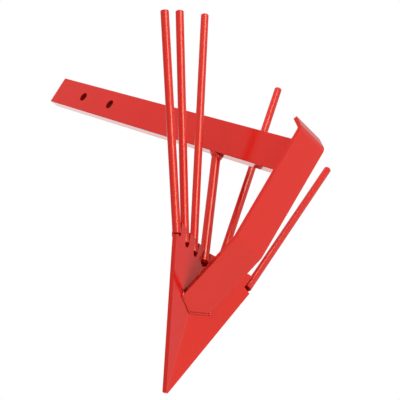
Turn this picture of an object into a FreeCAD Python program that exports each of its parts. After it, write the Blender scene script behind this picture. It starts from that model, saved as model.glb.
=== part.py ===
"""Potato digger plough: a welded, one-piece share with lifting fingers on a bolted shank.

Millimetres. +X is the direction of travel, +Y is the left side and +Z is up.
The origin lies midway between the two bolt holes, in the plough's middle plane.
"""
import FreeCAD, Part
import math
import os
import re
import Sketcher

Vector = FreeCAD.Vector
Rotation = FreeCAD.Rotation
Placement = FreeCAD.Placement

SIZES = {
    # upright flat bar
    "shank_width": 44.0,
    "shank_thickness": 16.0,
    "shank_height": 543.0,
    "shank_edge_radius": 0.8,
    "hole_diameter": 14.0,
    "hole_end_distance": 77.0,
    "hole_pitch": 73.0,
    # flat bar that slides along the bottom of the furrow
    "sole_width": 52.0,
    "sole_thickness": 5.0,
    "sole_bend_ahead": 98.0,
    "sole_bend_radius": 15.0,
    "sole_rise_angle": 18.0,
    "tail_behind": 10.5,
    "tail_length": 20.0,
    "tail_angle": 56.0,
    "tail_bend_radius": 4.0,
    # folded sheet, measured on its underside
    "share_length": 180.0,
    "share_half_width": 86.6,
    "share_thickness": 5.0,
    "share_fall_angle": 15.0,
    "share_pitch_angle": 20.9,
    "share_rear_ahead": 121.0,
    "share_rear_height": 60.0,
    "share_fold_radius": 3.0,
    "share_tip_cut": 3.0,
    # round rods behind each wing
    "finger_diameter": 10.0,
    "finger_end_chamfer": 0.6,
    "finger_edge_room": 1.4,
    "seat_depth": 13.5,
    "seat_lift": 0.4,
    "inner_spread_angle": 9.2,
    "inner_rise_angle": 9.3,
    "inner_length": 321.4,
    "middle_spread_angle": 19.3,
    "middle_rise_angle": 9.0,
    "middle_length": 284.3,
    "outer_spread_angle": 24.6,
    "outer_rise_angle": 8.3,
    "outer_length": 260.2,
    # the right outer rod reaches further into the sheet than the left one
    "right_outer_advance": 3.3,
    "right_outer_end_gap": 3.0,
    # round rod between share and shank
    "brace_diameter": 12.0,
    "brace_slope_angle": 31.8,
    "brace_seat_drop": 0.3,
    # weld beads and the room left between pieces that are welded
    "fit_gap": 0.2,
    "bead_leg": 5.0,
    "bead_edge": 0.4,
    "brace_bead_leg": 5.0,
    "brace_bead_side": 1.7,
    "seat_bead_radius": 8.0,
    "seat_bead_crown": 4.0,
    "seat_bead_height": 3.6,
}

FINGERS = ("inner", "middle", "outer")
SIDES = {"left": 1, "right": -1}

# how far a cutting outline reaches past the piece that it cuts
BEYOND = "(3 * finger_diameter)"

HALF_SLOT = "(finger_diameter / 2 + fit_gap)"

# the foot: the shank's front face at the level of the sole's underside
FOOT_X = "shank_width / 2"
FOOT_Z = "-(sole_thickness + shank_height - hole_end_distance - hole_pitch / 2)"

# the rear end of the share's fold, on the underside
SHARE_X = f"{FOOT_X} + share_rear_ahead"
SHARE_Z = f"{FOOT_Z} + share_rear_height"

doc = FreeCAD.newDocument("potato_digger_plough")
sheet = doc.addObject("Spreadsheet::Sheet", "sizes")
for row, (alias, number) in enumerate(SIZES.items(), start=1):
    sheet.set(f"A{row}", alias)
    sheet.set(f"B{row}", str(number))
    sheet.setAlias(f"B{row}", alias)
doc.recompute()


def cell(formula):
    """The formula with each size name replaced by a reference to its cell."""
    return re.sub(r"[a-z]+_[a-z_]+", lambda match: "sizes." + match.group(), formula)


def value_of(formula):
    """The value of a formula in the sheet's sizes, with angles in degrees."""
    return float(sheet.evalExpression(cell(formula)))


def new_body(name, x_formula="0", z_formula="0"):
    body = doc.addObject("PartDesign::Body", name)
    body.Label = name
    body.setExpression("Placement.Base.x", cell(x_formula))
    body.setExpression("Placement.Base.z", cell(z_formula))
    return body


def origin_plane(body, role):
    return next(item for item in body.Origin.OriginFeatures if item.Role == role)


def new_sketch(body, name, role, offset=Placement()):
    sketch = body.newObject("Sketcher::SketchObject", name)
    sketch.AttachmentSupport = [(origin_plane(body, role), "")]
    sketch.MapMode = "FlatFace"
    sketch.AttachmentOffset = offset
    return sketch


def bind_point(sketch, index, point, across, along):
    """Holds a point of the outline at two formulas, measured from the sketch's origin."""
    for kind, formula in (("DistanceX", across), ("DistanceY", along)):
        number = sketch.addConstraint(Sketcher.Constraint(kind, index, point, value_of(formula)))
        sketch.setExpression(f"Constraints[{number}]", cell(formula))


def add_polygon(sketch, corners):
    """A closed outline, each corner a pair of formulas."""
    count = len(corners)
    points = [Vector(value_of(across), value_of(along), 0) for across, along in corners]
    for number in range(count):
        sketch.addGeometry(Part.LineSegment(points[number], points[(number + 1) % count]), False)
    for number in range(count):
        follower = (number + 1) % count
        sketch.addConstraint(Sketcher.Constraint("Coincident", number, 2, follower, 1))
    for number, (across, along) in enumerate(corners):
        bind_point(sketch, number, 1, across, along)


def add_circle(sketch, across, along, diameter):
    """A circle, its centre and diameter given as formulas."""
    centre = Vector(value_of(across), value_of(along), 0)
    circle = Part.Circle(centre, Vector(0, 0, 1), value_of(diameter) / 2)
    index = sketch.addGeometry(circle, False)
    bind_point(sketch, index, 3, across, along)
    number = sketch.addConstraint(Sketcher.Constraint("Diameter", index, value_of(diameter)))
    sketch.setExpression(f"Constraints[{number}]", cell(diameter))


def add_pad(body, name, sketch, length, side_type="One side"):
    pad = body.newObject("PartDesign::Pad", name)
    pad.Profile = sketch
    pad.SideType = side_type
    pad.setExpression("Length", cell(length))
    return pad


def add_pocket(body, name, sketch, length):
    """A cut that reaches equally far to both sides of its sketch."""
    pocket = body.newObject("PartDesign::Pocket", name)
    pocket.Profile = sketch
    pocket.SideType = "Symmetric"
    pocket.setExpression("Length", cell(length))
    return pocket


def add_fillet(body, name, base, points, radius):
    """Rounds the edges of the base that run through the points, given as formulas."""
    doc.recompute()
    names = []
    for formulas in points:
        point = Part.Vertex(Vector(*[value_of(formula) for formula in formulas]))
        distances = [edge.distToShape(point)[0] for edge in base.Shape.Edges]
        names.append(f"Edge{distances.index(min(distances)) + 1}")
    fillet = body.newObject("PartDesign::Fillet", name)
    fillet.Base = (base, names)
    fillet.setExpression("Radius", cell(radius))
    return fillet


def make_shank():
    body = new_body("shank", FOOT_X, f"{FOOT_Z} + sole_thickness")
    outline = new_sketch(body, "shank_outline", "XZ_Plane")
    add_polygon(outline, [
        ("0", "0"),
        ("0", "shank_height"),
        ("-shank_width", "shank_height"),
        ("-shank_width", "0"),
    ])
    bar = add_pad(body, "shank_bar", outline, "shank_thickness", "Symmetric")
    long_edges = [(x, y, "shank_height / 2") for x in ("0", "-shank_width")
                  for y in ("-shank_thickness / 2", "shank_thickness / 2")]
    add_fillet(body, "shank_long_edges", bar, long_edges, "shank_edge_radius")
    centres = new_sketch(body, "bolt_hole_centres", "XZ_Plane")
    for drop in ("hole_end_distance", "hole_end_distance + hole_pitch"):
        add_circle(centres, "-shank_width / 2", f"shank_height - ({drop})", "hole_diameter")
    add_pocket(body, "bolt_holes", centres, "2 * shank_thickness")
    return body


def make_sole():
    """A bent flat bar whose front end is cut to the underside of the share."""
    body = new_body("sole", FOOT_X, FOOT_Z)
    fold_x = "(-shank_width - tail_behind)"
    tail_x = f"{fold_x} - tail_length * cos(tail_angle)"
    tail_z = "tail_length * sin(tail_angle)"
    fold_inner_x = f"{fold_x} + sole_thickness * tan(tail_angle / 2)"
    bend_inner_x = "sole_bend_ahead - sole_thickness * tan(sole_rise_angle / 2)"
    # distance along X from the front bend to where the underside reaches the share's fold
    reach = ("(share_rear_height + (share_rear_ahead - sole_bend_ahead) * tan(share_pitch_angle))"
             " / (tan(sole_rise_angle) + tan(share_pitch_angle))")
    front = f"({reach} / cos(sole_rise_angle) + sole_thickness)"
    nose_x = f"sole_bend_ahead + {front} * cos(sole_rise_angle)"
    nose_z = f"{front} * sin(sole_rise_angle)"
    profile = new_sketch(body, "sole_profile", "XZ_Plane")
    add_polygon(profile, [
        (tail_x, tail_z),
        (fold_x, "0"),
        ("sole_bend_ahead", "0"),
        (nose_x, nose_z),
        (f"{nose_x} - sole_thickness * sin(sole_rise_angle)",
         f"{nose_z} + sole_thickness * cos(sole_rise_angle)"),
        (bend_inner_x, "sole_thickness"),
        (fold_inner_x, "sole_thickness"),
        (f"{tail_x} + sole_thickness * sin(tail_angle)",
         f"{tail_z} + sole_thickness * cos(tail_angle)"),
    ])
    feature = add_pad(body, "sole_strip", profile, "sole_width", "Symmetric")
    bends = (
        ("tail_bend_outside", (fold_x, "0", "0"), "tail_bend_radius + sole_thickness"),
        ("tail_bend_inside", (fold_inner_x, "0", "sole_thickness"), "tail_bend_radius"),
        ("front_bend_outside", ("sole_bend_ahead", "0", "0"), "sole_bend_radius + sole_thickness"),
        ("front_bend_inside", (bend_inner_x, "0", "sole_thickness"), "sole_bend_radius"),
    )
    for name, point, radius in bends:
        feature = add_fillet(body, name, feature, [point], radius)
    share_frame = Placement(Vector(0, value_of("share_rear_height"), value_of("share_rear_ahead")),
                            Rotation(Vector(1, 0, 0), value_of("share_pitch_angle")))
    nose = new_sketch(body, "nose_outline", "YZ_Plane", share_frame)
    nose.setExpression("AttachmentOffset.Base.y", cell("share_rear_height"))
    nose.setExpression("AttachmentOffset.Base.z", cell("share_rear_ahead"))
    side = "sole_width"
    drop = f"-{side} * tan(share_fall_angle) - fit_gap"
    add_polygon(nose, [
        ("0", "-fit_gap"),
        (side, drop),
        (side, BEYOND),
        (f"-{side}", BEYOND),
        (f"-{side}", drop),
    ])
    add_pocket(body, "nose_point", nose, "2 * share_length")
    return body


def seat_of(name):
    """A finger's front end in its wing: forward from the rear edge and out from the fold.

    The outer finger lies just inside the cutting edge and the others share the width evenly.
    """
    share_of_width = f"{FINGERS.index(name) + 1} / {len(FINGERS)}"
    wing_at_seat = "share_half_width * (1 - seat_depth / share_length)"
    outer = f"({wing_at_seat} - finger_diameter / 2 - finger_edge_room)"
    return "seat_depth", f"{share_of_width} * {outer}"


def beside_seat(name, ahead, outward):
    """A point of the wing given from the finger's front end, along the finger and across it."""
    along, out = seat_of(name)
    turn = f"{name}_spread_angle"
    return (f"{along} + ({ahead}) * cos({turn}) + ({outward}) * sin({turn})",
            f"{out} - ({ahead}) * sin({turn}) + ({outward}) * cos({turn})")


def strip_corners(name, inside, outside, ahead):
    """A strip along a finger, given by its limits inside, outside and ahead of the front end."""
    behind = f"-(seat_depth / cos({name}_spread_angle) + {BEYOND})"
    return [beside_seat(name, ahead, f"-{inside}"), beside_seat(name, ahead, outside),
            beside_seat(name, behind, outside), beside_seat(name, behind, f"-{inside}")]


def end_room(name):
    """How far the upper rim of a finger's sloping front end leans forward, and the gap ahead of it."""
    return f"(finger_diameter / 2 * sin({name}_rise_angle) + fit_gap)"


def wing_sketch(body, name, side=1):
    """A sketch on the underside of the left wing, or the right one with side -1."""
    fall = Rotation(Vector(1, 0, 0), -side * value_of("share_fall_angle"))
    return new_sketch(body, name, "XY_Plane", Placement(Vector(0, 0, 0), fall))


def wing_cut(body, name, corners, side=1):
    sketch = wing_sketch(body, f"{name}_outline", side)
    add_polygon(sketch, [(along, f"{side} * ({out})") for along, out in corners])
    return add_pocket(body, name, sketch, "4 * share_thickness")


def make_share():
    """A sheet folded along its middle, cut to a point and slotted for the rods."""
    body = new_body("share", SHARE_X, SHARE_Z)
    body.Placement.Rotation = Rotation(Vector(0, 1, 0), value_of("share_pitch_angle"))
    low_y = "share_half_width * cos(share_fall_angle)"
    low_z = "-share_half_width * sin(share_fall_angle)"
    high_y = f"{low_y} + share_thickness * sin(share_fall_angle)"
    high_z = f"{low_z} + share_thickness * cos(share_fall_angle)"
    ridge_z = "share_thickness / cos(share_fall_angle)"
    section = new_sketch(body, "share_section", "YZ_Plane")
    add_polygon(section, [
        ("0", "0"),
        (low_y, low_z),
        (high_y, high_z),
        ("0", ridge_z),
        (f"-({high_y})", high_z),
        (f"-({low_y})", low_z),
    ])
    feature = add_pad(body, "share_sheet", section, "share_length - share_tip_cut")
    feature = add_fillet(body, "fold_outside", feature, [("share_length / 2", "0", ridge_z)],
                         "share_fold_radius + share_thickness")
    add_fillet(body, "fold_inside", feature, [("share_length / 2", "0", "0")], "share_fold_radius")

    widening = "share_half_width / share_length"
    cuts = [wing_cut(body, "cutting_edge", [
        ("share_length", "0"),
        (f"-{BEYOND}", f"share_half_width + {BEYOND} * {widening}"),
        (f"-{BEYOND}", "2 * share_half_width"),
        ("share_length", "2 * share_half_width"),
    ])]
    ends = wing_sketch(body, "slot_ends")
    for name in FINGERS[:-1]:
        cuts.append(wing_cut(body, f"{name}_slot", strip_corners(name, HALF_SLOT, HALF_SLOT, "0")))
        add_circle(ends, *seat_of(name), f"2 * {HALF_SLOT}")
    # the outer rod lies in an open corner, with a small drilled hole at its inner side
    outer = FINGERS[-1]
    room = end_room(outer)
    cuts.append(wing_cut(body, "outer_corner", strip_corners(outer, HALF_SLOT, BEYOND, room)))
    add_circle(ends, *beside_seat(outer, room, f"-{HALF_SLOT} / 2"), HALF_SLOT)
    cuts.append(add_pocket(body, "round_slot_ends", ends, "4 * share_thickness"))
    right_wing = body.newObject("PartDesign::Mirrored", "right_wing_cuts")
    right_wing.Originals = cuts
    right_wing.MirrorPlane = (origin_plane(body, "XZ_Plane"), [""])
    body.Tip = right_wing
    ahead = f"{room} + right_outer_advance + right_outer_end_gap"
    wing_cut(body, "right_corner_extension", strip_corners(outer, HALF_SLOT, BEYOND, ahead), side=-1)

    half_slot = "(brace_diameter / 2 + fit_gap)"
    slot = new_sketch(body, "brace_slot_outline", "XY_Plane")
    add_polygon(slot, [
        ("seat_depth", f"-{half_slot}"),
        ("seat_depth", half_slot),
        (f"-{BEYOND}", half_slot),
        (f"-{BEYOND}", f"-{half_slot}"),
    ])
    add_pocket(body, "brace_slot", slot, "4 * share_thickness")
    end = new_sketch(body, "brace_slot_end", "XY_Plane")
    add_circle(end, "seat_depth", "0", f"2 * {half_slot}")
    add_pocket(body, "round_brace_slot_end", end, "4 * share_thickness")
    return body


def make_rod(name, placement, diameter, length):
    """A straight round rod that starts at its placement and runs along its own +Z."""
    body = doc.addObject("PartDesign::Body", name)
    body.Label = name
    body.Placement = placement
    section = new_sketch(body, f"{name}_section", "XY_Plane")
    add_circle(section, "0", "0", diameter)
    return body, add_pad(body, f"{name}_rod", section, length)


def wing_frame(side, along, out, height):
    """A place on a wing, its +X forward along the fold and its +Z out of the wing's top."""
    pitch = Rotation(Vector(0, 1, 0), value_of("share_pitch_angle"))
    wing = pitch.multiply(Rotation(Vector(1, 0, 0), -side * value_of("share_fall_angle")))
    base = wing.multVec(Vector(value_of(along), side * value_of(out), value_of(height)))
    return Placement(base + Vector(value_of(SHARE_X), 0, value_of(SHARE_Z)), wing)


def advance_of(name, side_name):
    """How much further forward this finger starts than its seat."""
    return "right_outer_advance" if (side_name, name) == ("right", "outer") else "0"


def finger_placement(name, side_name):
    """The front end lies in the sheet, and the finger rises rearwards out of the wing's plane."""
    side = SIDES[side_name]
    seat = wing_frame(side, *seat_of(name), "share_thickness / 2 + seat_lift")
    spread = math.radians(value_of(f"{name}_spread_angle"))
    rise = math.radians(value_of(f"{name}_rise_angle"))
    direction = seat.Rotation.multVec(Vector(-math.cos(rise) * math.cos(spread),
                                             side * math.cos(rise) * math.sin(spread),
                                             math.sin(rise)))
    start = seat.Base - direction * value_of(advance_of(name, side_name))
    return Placement(start, Rotation(Vector(0, 0, 1), direction))


def make_finger(name, side_name):
    label = f"finger_{side_name}_{name}"
    placement = finger_placement(name, side_name)
    length = f"{name}_length + {advance_of(name, side_name)}"
    body, rod = make_rod(label, placement, "finger_diameter", length)
    doc.recompute()
    rims = [f"Edge{number}" for number, edge in enumerate(rod.Shape.Edges, start=1)
            if edge.isClosed()]
    chamfer = body.newObject("PartDesign::Chamfer", f"{label}_ends")
    chamfer.Base = (rod, rims)
    chamfer.setExpression("Size", cell("finger_end_chamfer"))
    return body


def brace_start():
    """The brace's front end, a little below the share's fold."""
    pitch = Rotation(Vector(0, 1, 0), value_of("share_pitch_angle"))
    seat = pitch.multVec(Vector(value_of("seat_depth"), 0, -value_of("brace_seat_drop")))
    return seat + Vector(value_of(SHARE_X), 0, value_of(SHARE_Z))


def brace_run():
    """Length of the brace's axis from its front end to the shank's front face."""
    slope = math.radians(value_of("brace_slope_angle"))
    return (brace_start().x - value_of(FOOT_X)) / math.cos(slope)


def make_brace():
    """A rod that is mitred to lie flat against the shank's front face."""
    tilt = Rotation(Vector(0, 1, 0), value_of("brace_slope_angle - 90"))
    run = brace_run()
    body, _ = make_rod("brace", Placement(brace_start(), tilt), "brace_diameter",
                       f"{run} + brace_diameter")
    mitre = new_sketch(body, "brace_mitre_outline", "XZ_Plane")
    rise = "brace_diameter * tan(brace_slope_angle)"
    add_polygon(mitre, [
        ("-brace_diameter", f"{run} - {rise}"),
        ("brace_diameter", f"{run} + {rise}"),
        ("brace_diameter", f"{run} + 3 * brace_diameter"),
        ("-brace_diameter", f"{run} + 3 * brace_diameter"),
    ])
    add_pocket(body, "brace_mitre", mitre, "2 * brace_diameter")
    return body


def make_foot_weld():
    """A bead round the foot of the shank, on top of the sole."""
    body = new_body("weld_shank_foot", FOOT_X, f"{FOOT_Z} + sole_thickness")
    outline = new_sketch(body, "foot_bead_outline", "XY_Plane")
    half = "shank_thickness / 2"
    add_polygon(outline, [
        ("bead_leg", f"-{half} - bead_leg"),
        ("bead_leg", f"{half} + bead_leg"),
        ("-shank_width - bead_leg", f"{half} + bead_leg"),
        ("-shank_width - bead_leg", f"-{half} - bead_leg"),
    ])
    bead = add_pad(body, "foot_bead", outline, "bead_leg")
    bead.setExpression("TaperAngle", cell("-atan((bead_leg - bead_edge) / bead_leg)"))
    corners = [(x, y, "bead_leg / 2") for x in ("bead_leg / 2", "-shank_width - bead_leg / 2")
               for y in (f"-{half} - bead_leg / 2", f"{half} + bead_leg / 2")]
    add_fillet(body, "foot_bead_corners", bead, corners, "0.7 * bead_leg")
    shank = new_sketch(body, "foot_bead_inside", "XY_Plane")
    add_polygon(shank, [
        ("0", f"-{half}"),
        ("0", half),
        ("-shank_width", half),
        ("-shank_width", f"-{half}"),
    ])
    add_pocket(body, "foot_bead_opening", shank, "4 * bead_leg")
    return body


def cut_away(label, shape, tools):
    """What is left of a shape when the pieces that it lies against are taken out of it."""
    for number, tool in enumerate(tools, start=1):
        cut = doc.addObject("Part::Cut", f"{label}_cut_{number}")
        cut.Base = shape
        cut.Tool = tool
        shape = cut
    shape.Label = label
    return shape


def make_brace_weld(brace):
    """A bead round the brace, on the shank's front face."""
    slope = math.radians(value_of("brace_slope_angle"))
    meeting = brace_start()
    meeting.z += (meeting.x - value_of(FOOT_X)) * math.tan(slope)
    meeting.x = value_of(FOOT_X)
    upright = Rotation(Vector(0, 1, 0), 90)
    half_height = "brace_diameter / 2 / cos(brace_slope_angle)"

    base = doc.addObject("Part::Ellipse", "brace_bead_base")
    base.Placement = Placement(meeting, upright)
    base.setExpression("MajorRadius", cell(f"{half_height} + 0.8 * brace_bead_leg"))
    base.setExpression("MinorRadius", cell("brace_diameter / 2 + brace_bead_side"))

    # the bead thins out along the brace, which falls towards the front
    step = value_of("brace_bead_leg")
    edge = doc.addObject("Part::Ellipse", "brace_bead_edge")
    edge.Placement = Placement(meeting + Vector(step, 0, -step * math.tan(slope)), upright)
    edge.setExpression("MajorRadius", cell(f"{half_height} + bead_edge"))
    edge.setExpression("MinorRadius", cell("brace_diameter / 2 + bead_edge"))

    bead = doc.addObject("Part::Loft", "brace_bead")
    bead.Sections = [base, edge]
    bead.Solid = True
    bead.Ruled = True
    return cut_away("weld_brace_top", bead, [brace])


def make_seat_weld(name, side_name, finger):
    """A low mound on top of the sheet that joins it to a finger's front end."""
    label = f"weld_{side_name}_{name}"
    ahead, outward = "0", "0"
    if name == FINGERS[-1]:
        ahead = f"{end_room(name)} + {advance_of(name, side_name)}"
        outward = f"-{HALF_SLOT} / 2"
    place = beside_seat(name, ahead, outward)
    mound = doc.addObject("Part::Cone", f"{label}_mound")
    mound.setExpression("Radius1", cell("seat_bead_radius"))
    mound.setExpression("Radius2", cell("seat_bead_crown"))
    mound.setExpression("Height", cell("seat_bead_height"))
    mound.Placement = wing_frame(SIDES[side_name], *place, "share_thickness")
    return cut_away(label, mound, [finger])


def make_ridge_weld(brace):
    """A mound astride the share's ridge that joins it to the brace's front end."""
    pitch = Rotation(Vector(0, 1, 0), value_of("share_pitch_angle"))
    foot = pitch.multVec(Vector(value_of("seat_depth"), 0, 0))
    mound = doc.addObject("Part::Cone", "ridge_mound")
    mound.setExpression("Radius1", cell("brace_diameter / 2 + bead_leg"))
    mound.setExpression("Radius2", cell("brace_diameter / 2"))
    mound.setExpression("Height", cell("share_thickness + bead_leg"))
    mound.Placement = Placement(foot + Vector(value_of(SHARE_X), 0, value_of(SHARE_Z)), pitch)

    # one block under the top of each wing, both reaching up to the ridge
    past_fold = "share_thickness * tan(share_fall_angle)"
    starts = {"left": f"-{past_fold}", "right": f"share_half_width - {past_fold}"}
    roof = []
    for side_name, out in starts.items():
        block = doc.addObject("Part::Box", f"{side_name}_roof")
        block.setExpression("Length", cell("share_length"))
        block.setExpression("Width", cell("share_half_width"))
        block.setExpression("Height", cell("4 * share_thickness"))
        block.Placement = wing_frame(SIDES[side_name], "-share_length / 2", out, "-3 * share_thickness")
        roof.append(block)
    return cut_away("weld_brace_foot", mound, roof + [brace])


def make_all():
    pieces = [make_shank(), make_sole(), make_share()]
    welds = []
    for side_name in SIDES:
        for name in FINGERS:
            finger = make_finger(name, side_name)
            pieces.append(finger)
            welds.append(make_seat_weld(name, side_name, finger))
    brace = make_brace()
    return pieces + [brace, make_foot_weld(), make_brace_weld(brace), make_ridge_weld(brace)] + welds


def check(pieces):
    """Stops before anything is written if a feature failed or a cut removed nothing."""
    for item in doc.Objects:
        if "Invalid" in item.State or "Error" in item.State:
            raise RuntimeError(f"{item.Name} failed: {item.State}")
        if item.TypeId == "PartDesign::Pocket" and item.Shape.Volume >= item.BaseFeature.Shape.Volume:
            raise RuntimeError(f"{item.Name} removed nothing")
    for piece in pieces:
        shape = piece.Shape
        if shape.isNull() or not shape.isValid() or len(shape.Solids) != 1:
            raise RuntimeError(f"{piece.Label} isn't one sound solid")


pieces = make_all()
doc.recompute()
check(pieces)
os.makedirs("parts", exist_ok=True)
for piece in pieces:
    piece.Shape.exportStep(f"parts/{piece.Label}.step")
    print(f"{piece.Label}: {piece.Shape.Volume:.0f} mm3")
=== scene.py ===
"""Potato digger plough in glossy red paint, seen from below and from its left side.

Metres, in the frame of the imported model: +X is the direction of travel, +Y the left side, +Z up.
"""
import math

import bpy
from mathutils import Matrix, Vector


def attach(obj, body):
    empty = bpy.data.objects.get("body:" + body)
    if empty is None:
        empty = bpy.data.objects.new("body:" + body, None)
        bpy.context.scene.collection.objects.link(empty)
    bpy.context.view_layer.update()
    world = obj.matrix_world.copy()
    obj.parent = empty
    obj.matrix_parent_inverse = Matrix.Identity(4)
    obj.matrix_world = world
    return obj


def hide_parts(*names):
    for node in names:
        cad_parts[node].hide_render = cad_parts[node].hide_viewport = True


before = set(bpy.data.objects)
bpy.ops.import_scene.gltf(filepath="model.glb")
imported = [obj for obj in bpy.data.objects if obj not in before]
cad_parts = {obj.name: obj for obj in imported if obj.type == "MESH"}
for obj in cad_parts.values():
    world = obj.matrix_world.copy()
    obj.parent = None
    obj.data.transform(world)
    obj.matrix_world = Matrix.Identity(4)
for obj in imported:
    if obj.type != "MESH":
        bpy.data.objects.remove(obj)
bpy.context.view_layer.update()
bpy.ops.object.select_all(action="DESELECT")

IMAGE_SIZE = 400
SENSOR_WIDTH = 36.0

# the photograph's camera: its place, the point of the middle plane that it aims at and its turn
CAMERA_PLACE = Vector((0.276, 0.7696, -1.2125))
CAMERA_AIM = Vector((0.0863, 0.0, -0.31575))
CAMERA_ROLL = math.radians(-69.48)
FOCAL_PIXELS = 955.2

# the camera looks up at the underside, so the floor lies below the camera
FLOOR_HEIGHT = -2.6
FLOOR_WIDTH = 14.0
FLOOR_GREY = (0.8, 0.8, 0.79, 1.0)
FLOOR_ROUGHNESS = 0.9
# how bright the floor and the room are in the paint's reflections, and the room's own light
MIRRORED_FLOOR = 1.0
MIRRORED_ROOM = 0.55
ROOM_FILL = 0.4

# welds: the grain of their melted skin, its rounds of smoothing, the lumps' size and height, and
# the level of the lumps' texture that leaves the skin where it is
WELD_GRAIN = 0.0005
BEAD_GRAIN = 0.0003
SOFTENING = 3
LUMP_SIZE = 0.0035
LUMP_HEIGHT = 0.0012
LUMP_LEVEL = 0.25
MERGE_DISTANCE = 0.000005
# the drops of a run, spaced by this share of their radius
DROP_SPACING = 0.8
DROP_SEGMENTS = 16
DROP_RINGS = 10

# the sole's pointed nose on the underside of the share, the direction back along the sole and the
# beads there
NOSE_TIP = Vector((0.2170, 0.0, -0.4032))
NOSE_CORNER = Vector((0.2062, 0.0263, -0.4066))
SOLE_BACK = Vector((-0.951, 0.0, 0.309))
NOSE_BEAD_RADIUS = 0.0013
CORNER_BEAD_RADIUS = 0.0021
CORNER_BEAD_LENGTH = 0.004

# where the lamps aim, and the line along the rods that the long lamps lie on
PLOUGH_MIDDLE = Vector((0.08, 0.0, -0.25))
ALONG_RODS = Vector((-0.9, 0.1, 0.4))

# a mirrored white surface looks a little warm in the paint
FILM_TINT = (1.0, 0.8, 0.55, 1.0)
PAINT_IOR = 1.5
PAINT_RED = (0.67, 0.0125, 0.0105, 1.0)
# the tone's lowest level before its slow drift, the patches of rougher paint and the fine peel
DRIFT_BASE = 0.975
DRIFT_DETAIL = 2.0
PATCH_SCALE = 30.0
PATCH_RISE = 0.03
FINE_DETAIL = 1.0
PEEL_STRENGTH = 0.35
# painted shade: how dark the colour is made in a tight corner, and in the crease between the sole
# and the share
CORNER_SHADE_TONE = 0.3
CREASE_SHADE_TONE = 0.08
# painted shade on the sole's sides under the share: its tone, and along X the places where it sets
# in and where it is full
SIDE_SHADE_TONE = 0.5
SIDE_SHADE_FROM = 0.14
SIDE_SHADE_FULL = 0.16
# how far a face is turned sideways where it starts to count as a side, and where it fully does
SIDEWAYS_FROM = 0.4
SIDEWAYS_FULL = 0.9
# the share of open surroundings at which the painted corner shade is darkest, and at which it ends
CORNER_SHUT = 0.45
CORNER_OPEN = 0.85

# the share's fold: half the width of its soft inside and the fall of each wing
FOLD_HALF_WIDTH = 0.005
WING_SLOPE = math.tan(math.radians(15.0))


def place_camera():
    """A pinhole camera at the photograph's viewpoint, turned about its own line of sight."""
    data = bpy.data.cameras.new("photo_camera")
    data.sensor_width = SENSOR_WIDTH
    data.lens = FOCAL_PIXELS * SENSOR_WIDTH / IMAGE_SIZE
    camera = bpy.data.objects.new("photo_camera", data)
    bpy.context.collection.objects.link(camera)
    look = (CAMERA_AIM - CAMERA_PLACE).to_track_quat("-Z", "Y").to_matrix().to_4x4()
    turn = Matrix.Rotation(CAMERA_ROLL, 4, "Z")
    camera.matrix_world = Matrix.Translation(CAMERA_PLACE) @ look @ turn
    bpy.context.scene.camera = camera


def group_node(material, group, **values):
    """Places a shared effect in a material and sets its inputs."""
    node = material.node_tree.nodes.new("ShaderNodeGroup")
    node.node_tree = group
    for name, value in values.items():
        node.inputs[name.replace("_", " ")].default_value = value
    return node


def new_group(name, inputs, outputs):
    """An empty shared effect with its sockets, and the two nodes that they show on inside it."""
    group = bpy.data.node_groups.new(name, "ShaderNodeTree")
    for label, kind, value in inputs:
        socket = group.interface.new_socket(label, in_out="INPUT", socket_type=kind)
        socket.default_value = value
    for label, kind in outputs:
        group.interface.new_socket(label, in_out="OUTPUT", socket_type=kind)
    return group, group.nodes.new("NodeGroupInput"), group.nodes.new("NodeGroupOutput")


def paint_film_group():
    """Sprayed paint: a slow drift of tone, a slightly uneven roughness and a fine peel height."""
    group, given, result = new_group(
        "paint_film",
        [("Colour", "NodeSocketColor", PAINT_RED),
         ("Drift Scale", "NodeSocketFloat", 9.0),
         ("Drift Amount", "NodeSocketFloat", 0.05),
         ("Peel Scale", "NodeSocketFloat", 900.0),
         ("Roughness", "NodeSocketFloat", 0.12)],
        [("Colour", "NodeSocketColor"),
         ("Roughness", "NodeSocketFloat"),
         ("Height", "NodeSocketFloat")])
    nodes, links = group.nodes, group.links
    place = nodes.new("ShaderNodeTexCoord")

    drift = nodes.new("ShaderNodeTexNoise")
    drift.inputs["Detail"].default_value = DRIFT_DETAIL
    links.new(place.outputs["Object"], drift.inputs["Vector"])
    links.new(given.outputs["Drift Scale"], drift.inputs["Scale"])

    darker = nodes.new("ShaderNodeMath")
    darker.operation = "MULTIPLY_ADD"
    links.new(drift.outputs["Fac"], darker.inputs[0])
    links.new(given.outputs["Drift Amount"], darker.inputs[1])
    darker.inputs[2].default_value = DRIFT_BASE
    tone = nodes.new("ShaderNodeVectorMath")
    tone.operation = "SCALE"
    links.new(given.outputs["Colour"], tone.inputs[0])
    links.new(darker.outputs["Value"], tone.inputs["Scale"])
    links.new(tone.outputs["Vector"], result.inputs["Colour"])

    patches = nodes.new("ShaderNodeTexNoise")
    patches.inputs["Scale"].default_value = PATCH_SCALE
    patches.inputs["Detail"].default_value = FINE_DETAIL
    links.new(place.outputs["Object"], patches.inputs["Vector"])
    rougher = nodes.new("ShaderNodeMath")
    rougher.operation = "MULTIPLY_ADD"
    links.new(patches.outputs["Fac"], rougher.inputs[0])
    rougher.inputs[1].default_value = PATCH_RISE
    links.new(given.outputs["Roughness"], rougher.inputs[2])
    links.new(rougher.outputs["Value"], result.inputs["Roughness"])

    peel = nodes.new("ShaderNodeTexNoise")
    peel.inputs["Detail"].default_value = FINE_DETAIL
    links.new(place.outputs["Object"], peel.inputs["Vector"])
    links.new(given.outputs["Peel Scale"], peel.inputs["Scale"])
    links.new(peel.outputs["Fac"], result.inputs["Height"])
    return group


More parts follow.
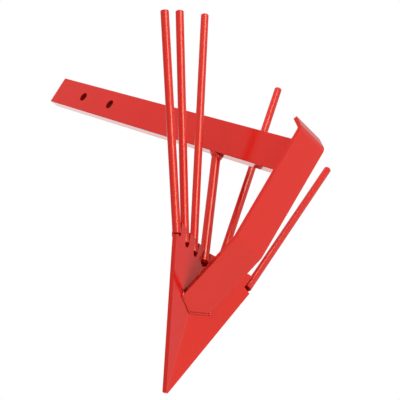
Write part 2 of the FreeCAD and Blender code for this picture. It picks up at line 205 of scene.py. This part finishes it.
def weld_ripple_group():
    """Weld metal: rounded ripples along a bead with small lumps between them."""
    group, given, result = new_group(
        "weld_ripple",
        [("Ripple Scale", "NodeSocketFloat", 260.0), ("Lump Scale", "NodeSocketFloat", 420.0)],
        [("Height", "NodeSocketFloat")])
    nodes, links = group.nodes, group.links
    place = nodes.new("ShaderNodeTexCoord")
    ripples = nodes.new("ShaderNodeTexVoronoi")
    links.new(place.outputs["Object"], ripples.inputs["Vector"])
    links.new(given.outputs["Ripple Scale"], ripples.inputs["Scale"])
    lumps = nodes.new("ShaderNodeTexNoise")
    links.new(place.outputs["Object"], lumps.inputs["Vector"])
    links.new(given.outputs["Lump Scale"], lumps.inputs["Scale"])
    total = nodes.new("ShaderNodeMath")
    total.operation = "SUBTRACT"
    links.new(lumps.outputs["Fac"], total.inputs[0])
    links.new(ripples.outputs["Distance"], total.inputs[1])
    links.new(total.outputs["Value"], result.inputs["Height"])
    return group


def painted_side_shade_group():
    """Painted shade on the sole: a darker tone on its sides under the share, and one everywhere
    else.
    """
    group, given, result = new_group(
        "painted_side_shade",
        [("Side Shade Tone", "NodeSocketFloat", SIDE_SHADE_TONE)],
        [("Tone", "NodeSocketFloat")])
    nodes, links = group.nodes, group.links

    def ramp(source, start, end):
        node = nodes.new("ShaderNodeMapRange")
        node.inputs["From Min"].default_value = start
        node.inputs["From Max"].default_value = end
        links.new(source, node.inputs["Value"])
        return node

    place = nodes.new("ShaderNodeTexCoord")
    facing = nodes.new("ShaderNodeSeparateXYZ")
    links.new(place.outputs["Normal"], facing.inputs["Vector"])
    sideways = nodes.new("ShaderNodeMath")
    sideways.operation = "ABSOLUTE"
    links.new(facing.outputs["Y"], sideways.inputs[0])
    where = nodes.new("ShaderNodeSeparateXYZ")
    links.new(place.outputs["Object"], where.inputs["Vector"])
    side_shade_mask = nodes.new("ShaderNodeMath")
    side_shade_mask.operation = "MULTIPLY"
    side = ramp(sideways.outputs["Value"], SIDEWAYS_FROM, SIDEWAYS_FULL)
    forward = ramp(where.outputs["X"], SIDE_SHADE_FROM, SIDE_SHADE_FULL)
    links.new(side.outputs["Result"], side_shade_mask.inputs[0])
    links.new(forward.outputs["Result"], side_shade_mask.inputs[1])
    tone = ramp(side_shade_mask.outputs["Value"], 0.0, 1.0)
    tone.inputs["To Min"].default_value = 1.0
    links.new(given.outputs["Side Shade Tone"], tone.inputs["To Max"])
    links.new(tone.outputs["Result"], result.inputs["Tone"])
    return group


def fold_group():
    """A pressed fold's soft inside in the middle plane, as a height on both sides of the sheet."""
    group, given, result = new_group(
        "soft_fold",
        [("Half Width", "NodeSocketFloat", FOLD_HALF_WIDTH),
         ("Slope", "NodeSocketFloat", WING_SLOPE)],
        [("Height", "NodeSocketFloat")])
    nodes, links = group.nodes, group.links

    def math_node(operation, *sources):
        node = nodes.new("ShaderNodeMath")
        node.operation = operation
        for number, source in enumerate(sources):
            if isinstance(source, float):
                node.inputs[number].default_value = source
            else:
                links.new(source, node.inputs[number])
        return node.outputs["Value"]

    place = nodes.new("ShaderNodeTexCoord")
    where = nodes.new("ShaderNodeSeparateXYZ")
    links.new(place.outputs["Object"], where.inputs["Vector"])
    facing = nodes.new("ShaderNodeSeparateXYZ")
    links.new(place.outputs["Normal"], facing.inputs["Vector"])
    half_width = given.outputs["Half Width"]
    inside = math_node("SUBTRACT", half_width, math_node("ABSOLUTE", where.outputs["Y"]))
    inside = math_node("MAXIMUM", inside, 0.0)
    curve = math_node("DIVIDE", math_node("MULTIPLY", inside, inside), half_width)
    height = math_node("MULTIPLY", curve, math_node("MULTIPLY", given.outputs["Slope"], 0.5))
    below = math_node("MULTIPLY", math_node("SIGN", facing.outputs["Z"]), -1.0)
    links.new(math_node("MULTIPLY", height, below), result.inputs["Height"])
    return group


def add_bump(material, height, strength, distance, below=None):
    """Lays one more height over the surface, on top of the bump given as below."""
    nodes, links = material.node_tree.nodes, material.node_tree.links
    bump = nodes.new("ShaderNodeBump")
    bump.inputs["Strength"].default_value = strength
    bump.inputs["Distance"].default_value = distance
    links.new(height, bump.inputs["Height"])
    if below:
        links.new(below, bump.inputs["Normal"])
    return bump.outputs["Normal"]


def red_paint(name, film, roughness, drift, peel_depth, corner_reach, corner_shade_tone=CORNER_SHADE_TONE,
              sides=None, relief=None, relief_depth=1.0):
    """Glossy red paint with painted shade: darker in tight corners, where a second surface is
    nearer than corner_reach.

    It may also get a painted shade on the sole's sides under the share. A relief such as weld
    ripples shows through it.
    """
    material = bpy.data.materials.new(name)
    material.use_nodes = True
    nodes, links = material.node_tree.nodes, material.node_tree.links
    shader = nodes["Principled BSDF"]
    shader.inputs["IOR"].default_value = PAINT_IOR
    shader.inputs["Specular Tint"].default_value = FILM_TINT
    coat = group_node(material, film, Roughness=roughness, Drift_Amount=drift)
    # painted shade: ambient occlusion darkens the base colour in tight corners and creases
    corners = nodes.new("ShaderNodeAmbientOcclusion")
    corners.inputs["Distance"].default_value = corner_reach
    shade = nodes.new("ShaderNodeMapRange")
    shade.inputs["From Min"].default_value = CORNER_SHUT
    shade.inputs["From Max"].default_value = CORNER_OPEN
    shade.inputs["To Min"].default_value = corner_shade_tone
    links.new(corners.outputs["AO"], shade.inputs["Value"])
    level = shade.outputs["Result"]
    # painted shade on the sole's sides under the share, multiplied into the tone
    if sides:
        side_shaded = nodes.new("ShaderNodeMath")
        side_shaded.operation = "MULTIPLY"
        links.new(level, side_shaded.inputs[0])
        links.new(group_node(material, sides).outputs["Tone"], side_shaded.inputs[1])
        level = side_shaded.outputs["Value"]
    tone = nodes.new("ShaderNodeVectorMath")
    tone.operation = "SCALE"
    links.new(coat.outputs["Colour"], tone.inputs[0])
    links.new(level, tone.inputs["Scale"])
    links.new(tone.outputs["Vector"], shader.inputs["Base Color"])
    links.new(coat.outputs["Roughness"], shader.inputs["Roughness"])
    surface = None
    if relief:
        shape = group_node(material, relief)
        surface = add_bump(material, shape.outputs["Height"], 1.0, relief_depth)
    surface = add_bump(material, coat.outputs["Height"], PEEL_STRENGTH, peel_depth, surface)
    links.new(surface, shader.inputs["Normal"])
    return material


def dress(node, material):
    """Gives every material slot of a CAD node the same finish."""
    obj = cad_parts[node]
    if not obj.material_slots:
        obj.data.materials.append(material)
    for slot in obj.material_slots:
        slot.material = material


def apply_modifiers(piece):
    """Turns the piece's modifiers into its own mesh, and shades it smooth."""
    bpy.context.view_layer.objects.active = piece
    piece.select_set(True)
    for modifier in list(piece.modifiers):
        bpy.ops.object.modifier_apply(modifier=modifier.name)
    bpy.ops.object.shade_smooth()
    bpy.ops.object.select_all(action="DESELECT")


def flow_together(piece, grain, lumps=None):
    """Melts a weld's crude shape into one soft skin, with lumps if a texture for them is given."""
    skin = piece.modifiers.new("skin", "REMESH")
    skin.mode = "VOXEL"
    skin.voxel_size = grain
    soft = piece.modifiers.new("soft", "SMOOTH")
    soft.iterations = SOFTENING
    if lumps:
        uneven = piece.modifiers.new("uneven", "DISPLACE")
        uneven.texture = lumps
        uneven.texture_coords = "LOCAL"
        uneven.mid_level = LUMP_LEVEL
        uneven.strength = LUMP_HEIGHT
    apply_modifiers(piece)


def melt_weld(node, lumps, material):
    """A lumpy weld in place of a plain one: the plain shape is merged, melted and roughened."""
    piece = bpy.data.objects.new(node.replace("weld", "bead"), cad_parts[node].data.copy())
    bpy.context.collection.objects.link(piece)
    bpy.context.view_layer.objects.active = piece
    piece.select_set(True)
    bpy.ops.object.mode_set(mode="EDIT")
    bpy.ops.mesh.select_all(action="SELECT")
    bpy.ops.mesh.remove_doubles(threshold=MERGE_DISTANCE)
    bpy.ops.mesh.normals_make_consistent(inside=False)
    bpy.ops.object.mode_set(mode="OBJECT")
    flow_together(piece, WELD_GRAIN, lumps)
    piece.data.materials.clear()
    piece.data.materials.append(material)
    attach(piece, "root")
    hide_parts(node)


def run_bead(name, start, end, radius, material):
    """A hand-laid weld: overlapping drops from start to end, melted into one rippled bead."""
    step = (end - start).normalized() * radius * DROP_SPACING
    bpy.ops.mesh.primitive_uv_sphere_add(
        segments=DROP_SEGMENTS, ring_count=DROP_RINGS, radius=radius, location=start)
    piece = bpy.context.active_object
    piece.name = name
    bpy.ops.object.transform_apply(location=True, rotation=True, scale=True)
    bpy.ops.object.mode_set(mode="EDIT")
    bpy.ops.mesh.select_all(action="SELECT")
    for _ in range(round((end - start).length / step.length)):
        bpy.ops.mesh.duplicate()
        bpy.ops.transform.translate(value=step)
    bpy.ops.object.mode_set(mode="OBJECT")
    flow_together(piece, BEAD_GRAIN)
    piece.data.materials.append(material)
    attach(piece, "root")


def light_panel(name, place, width, power):
    """A square soft lamp aimed at the plough. Gloss shows the white surround instead of it."""
    data = bpy.data.lights.new(name, "AREA")
    data.shape = "SQUARE"
    data.size = width
    data.energy = power
    lamp = bpy.data.objects.new(name, data)
    bpy.context.collection.objects.link(lamp)
    turn = (PLOUGH_MIDDLE - place).to_track_quat("-Z", "Y").to_matrix().to_4x4()
    lamp.matrix_world = Matrix.Translation(place) @ turn
    lamp.visible_glossy = False


def light_tube(name, place, along, width, length, power):
    """A lamp that shows in gloss only and lies along the rods, as a bright line on each one."""
    data = bpy.data.lights.new(name, "AREA")
    data.shape = "RECTANGLE"
    data.size = width
    data.size_y = length
    data.energy = power
    lamp = bpy.data.objects.new(name, data)
    bpy.context.collection.objects.link(lamp)
    back = (place - PLOUGH_MIDDLE).normalized()
    side = along.cross(back).normalized()
    turn = Matrix((side, back.cross(side), back)).transposed().to_4x4()
    lamp.matrix_world = Matrix.Translation(place) @ turn
    lamp.visible_diffuse = False


def mirrored_ray(nodes, links, path):
    """One for the rays that a glossy or a clear surface sends out."""
    mirrored = nodes.new("ShaderNodeMath")
    mirrored.operation = "MAXIMUM"
    links.new(path.outputs["Is Glossy Ray"], mirrored.inputs[0])
    links.new(path.outputs["Is Transmission Ray"], mirrored.inputs[1])
    return mirrored.outputs["Value"]


def make_floor():
    """A plain pale floor below the camera. Gloss on the plough mirrors it as white."""
    bpy.ops.mesh.primitive_plane_add(size=FLOOR_WIDTH, location=(0.0, 0.0, FLOOR_HEIGHT))
    floor = bpy.context.active_object
    floor.name = "floor"
    bpy.ops.object.transform_apply(location=True, rotation=True, scale=True)
    bpy.ops.object.select_all(action="DESELECT")
    material = bpy.data.materials.new("pale_floor")
    material.use_nodes = True
    nodes, links = material.node_tree.nodes, material.node_tree.links
    shader = nodes["Principled BSDF"]
    shader.inputs["Base Color"].default_value = FLOOR_GREY
    shader.inputs["Roughness"].default_value = FLOOR_ROUGHNESS
    white = nodes.new("ShaderNodeEmission")
    white.inputs["Strength"].default_value = MIRRORED_FLOOR
    mix = nodes.new("ShaderNodeMixShader")
    path = nodes.new("ShaderNodeLightPath")
    links.new(mirrored_ray(nodes, links, path), mix.inputs["Fac"])
    links.new(shader.outputs["BSDF"], mix.inputs[1])
    links.new(white.outputs["Emission"], mix.inputs[2])
    links.new(mix.outputs["Shader"], nodes["Material Output"].inputs["Surface"])
    floor.data.materials.append(material)


def make_world(fill):
    """White to the camera, darker than the floor in reflections, and a plain fill for the rest."""
    world = bpy.data.worlds.new("studio")
    bpy.context.scene.world = world
    world.use_nodes = True
    nodes, links = world.node_tree.nodes, world.node_tree.links
    path = nodes.new("ShaderNodeLightPath")
    reflection = nodes.new("ShaderNodeMath")
    reflection.operation = "MULTIPLY"
    reflection.inputs[1].default_value = MIRRORED_ROOM
    links.new(mirrored_ray(nodes, links, path), reflection.inputs[0])
    seen = nodes.new("ShaderNodeMath")
    seen.operation = "MAXIMUM"
    links.new(reflection.outputs["Value"], seen.inputs[0])
    links.new(path.outputs["Is Camera Ray"], seen.inputs[1])
    strength = nodes.new("ShaderNodeMath")
    strength.operation = "MAXIMUM"
    strength.inputs[1].default_value = fill
    links.new(seen.outputs["Value"], strength.inputs[0])
    room = nodes["Background"]
    room.inputs["Color"].default_value = (1.0, 1.0, 1.0, 1.0)
    links.new(strength.outputs["Value"], room.inputs["Strength"])


bpy.context.scene.view_settings.view_transform = "Standard"
place_camera()

film = paint_film_group()
ripple = weld_ripple_group()
sole_paint = red_paint("paint_on_sole", film, roughness=0.12, drift=0.05, peel_depth=0.00002,
                       corner_reach=0.009, corner_shade_tone=CREASE_SHADE_TONE, sides=painted_side_shade_group())
share_paint = red_paint("paint_on_share", film, roughness=0.12, drift=0.05, peel_depth=0.00002,
                        corner_reach=0.004, relief=fold_group())
bar_paint = red_paint("paint_on_bar", film, roughness=0.12, drift=0.06, peel_depth=0.00005,
                      corner_reach=0.014)
rod_paint = red_paint("paint_on_rod", film, roughness=0.21, drift=0.04, peel_depth=0.00001,
                      corner_reach=0.006)
weld_paint = red_paint("paint_on_weld", film, roughness=0.18, drift=0.05, peel_depth=0.00005,
                       corner_reach=0.004, relief=ripple, relief_depth=0.0006)

lumps = bpy.data.textures.new("weld_lumps", "CLOUDS")
lumps.noise_scale = LUMP_SIZE

for node in list(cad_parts):
    if node.startswith("weld"):
        dress(node, weld_paint)
        melt_weld(node, lumps, weld_paint)
    elif node.startswith("finger") or node == "brace":
        dress(node, rod_paint)
    elif node == "shank":
        dress(node, bar_paint)
    elif node == "share":
        dress(node, share_paint)
    else:
        dress(node, sole_paint)

for side_name, side in (("left", 1.0), ("right", -1.0)):
    corner = NOSE_CORNER * Vector((1.0, side, 1.0))
    run_bead(f"bead_nose_{side_name}", corner, NOSE_TIP, NOSE_BEAD_RADIUS, weld_paint)
    back = corner + SOLE_BACK * CORNER_BEAD_LENGTH
    run_bead(f"bead_corner_{side_name}", back, corner, CORNER_BEAD_RADIUS, weld_paint)

make_floor()
make_world(ROOM_FILL)
for lamp_name, lamp_place, lamp_width, lamp_power in (
        ("key", (-0.65, 1.52, -1.12), 2.0, 6.0),
        ("overhead", (-1.06, 1.425, 0.28), 2.2, 30.0),
        ("front", (-0.26, 0.19, -2.11), 1.8, 19.5),
        ("under", (0.97, -1.16, -1.3), 1.8, 7.0),
        ("top", (-1.06, -0.57, 1.15), 2.4, 20.0)):
    light_panel(lamp_name, Vector(lamp_place), lamp_width, lamp_power)
light_tube("tube", Vector((-0.954, 0.708, -1.245)), ALONG_RODS,
           width=0.6, length=2.6, power=44.0)
light_tube("far_tube", Vector((0.38, -1.22, 1.17)), ALONG_RODS,
           width=1.6, length=1.8, power=10.0)
